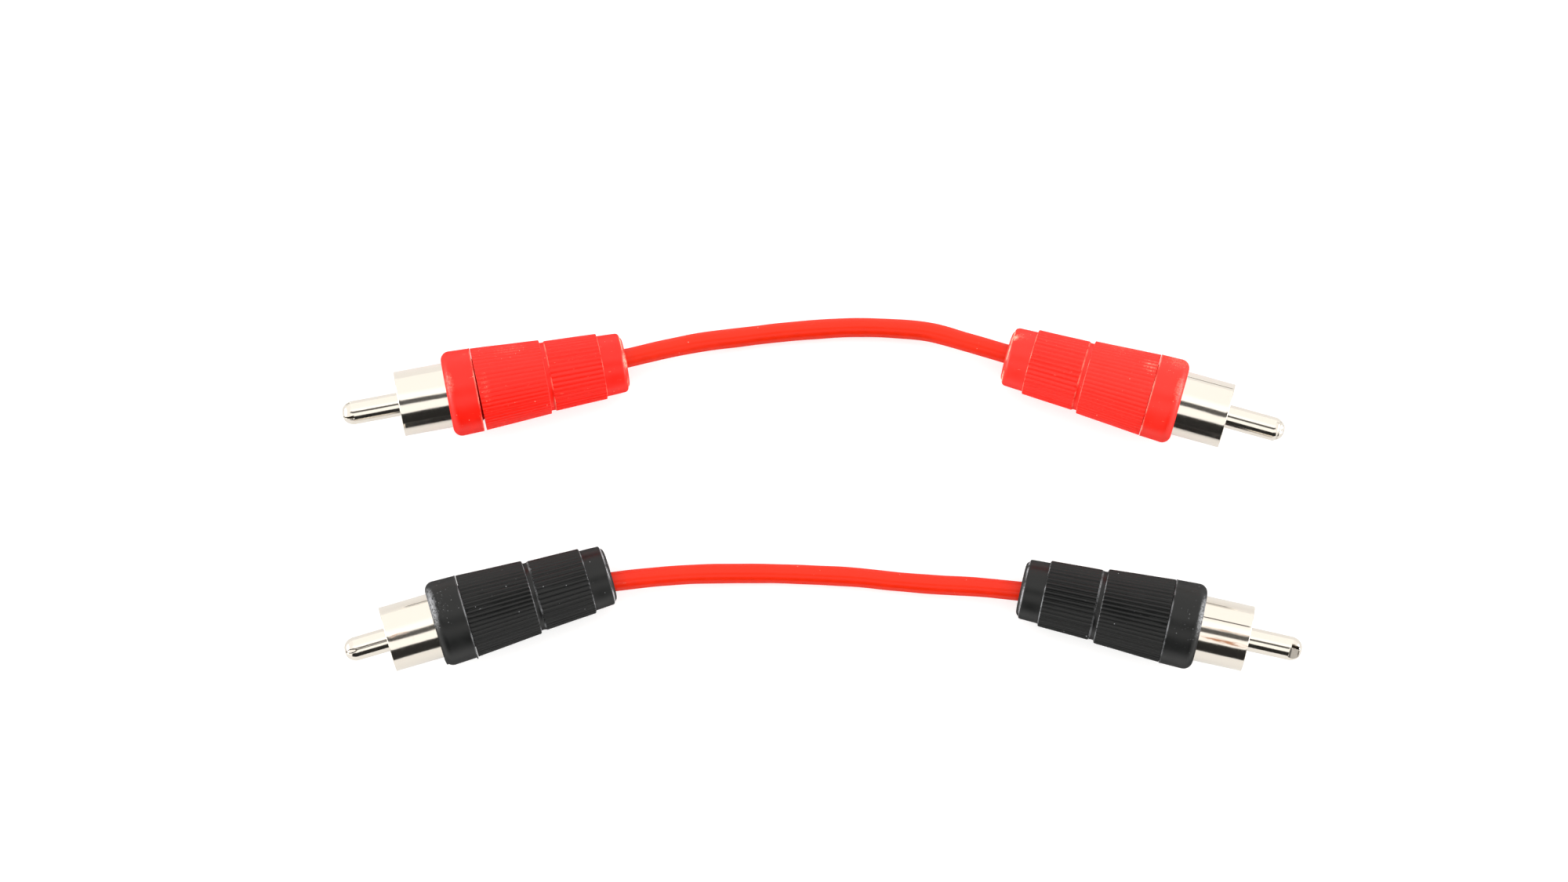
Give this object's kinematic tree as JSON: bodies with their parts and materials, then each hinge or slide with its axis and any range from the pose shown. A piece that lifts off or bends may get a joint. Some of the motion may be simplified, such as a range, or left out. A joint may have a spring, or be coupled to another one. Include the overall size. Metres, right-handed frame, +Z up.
{
  "type": "phono audio lead",
  "caption": "Pair of short phono audio leads, one with red and one with black ribbed screw-cap plugs, on thin red cable.",
  "frame": {"origin": "On the surface that the pair lies on, under the centre of the box round the plugs, cables left out.", "axes": "+X runs along the leads to the right-hand plugs, +Y from the black lead to the red one, +Z up."},
  "size_m": [0.1293, 0.0491, 0.0118],
  "materials": {
    "red_plastic": "satin",
    "black_plastic": "satin",
    "nickel": "polished",
    "insulator_plastic": "satin",
    "core_plastic": "satin",
    "copper": "satin",
    "solder": "satin",
    "red_jacket": "satin"
  },
  "bodies": {
    "leads": {"red_left_collar": "red_plastic", "red_left_ground_sleeve": "nickel", "red_left_insulator": "insulator_plastic", "red_left_centre_pin": "nickel", "red_left_ground_tag": "nickel", "red_left_pin_solder": "solder", "red_left_shield_solder": "solder", "red_left_core": "core_plastic", "red_left_conductor": "copper", "red_left_shield_strands": "copper", "red_right_collar": "red_plastic", "red_right_ground_sleeve": "nickel", "red_right_insulator": "insulator_plastic", "red_right_centre_pin": "nickel", "red_right_ground_tag": "nickel", "red_right_pin_solder": "solder", "red_right_shield_solder": "solder", "red_right_core": "core_plastic", "red_right_conductor": "copper", "red_right_shield_strands": "copper", "black_left_collar": "black_plastic", "black_left_ground_sleeve": "nickel", "black_left_insulator": "insulator_plastic", "black_left_centre_pin": "nickel", "black_left_ground_tag": "nickel", "black_left_pin_solder": "solder", "black_left_shield_solder": "solder", "black_left_core": "core_plastic", "black_left_conductor": "copper", "black_left_shield_strands": "copper", "black_right_collar": "black_plastic", "black_right_ground_sleeve": "nickel", "black_right_insulator": "insulator_plastic", "black_right_centre_pin": "nickel", "black_right_ground_tag": "nickel", "black_right_pin_solder": "solder", "black_right_shield_solder": "solder", "black_right_core": "core_plastic", "black_right_conductor": "copper", "black_right_shield_strands": "copper", "red_lead_cable": "red_jacket", "black_lead_cable": "red_jacket"},
    "red_left_cap": {"red_left_screw_cap": "red_plastic"},
    "red_right_cap": {"red_right_screw_cap": "red_plastic"},
    "black_left_cap": {"black_left_screw_cap": "black_plastic"},
    "black_right_cap": {"black_right_screw_cap": "black_plastic"}
  },
  "joints": [
    {"name": "red_left_cap_screw", "type": "hinge", "parent": "leads", "child": "red_left_cap", "pos_m": [-0.04644, 0.01476, 0.00574], "axis": [0.9777, 0.1989, -0.0669], "range_deg": [-180, 1800]},
    {"name": "red_right_cap_screw", "type": "hinge", "parent": "leads", "child": "red_right_cap", "pos_m": [0.04512, 0.01401, 0.00574], "axis": [-0.9565, 0.2833, -0.0691], "range_deg": [0, 1980]},
    {"name": "black_left_cap_screw", "type": "hinge", "parent": "leads", "child": "black_left_cap", "pos_m": [-0.04738, -0.01616, 0.00574], "axis": [0.954, 0.2917, -0.0691], "range_deg": [0, 1980]},
    {"name": "black_right_cap_screw", "type": "hinge", "parent": "leads", "child": "black_right_cap", "pos_m": [0.04682, -0.01678, 0.00574], "axis": [-0.9713, 0.2278, -0.0691], "range_deg": [0, 1980]}
  ]
}
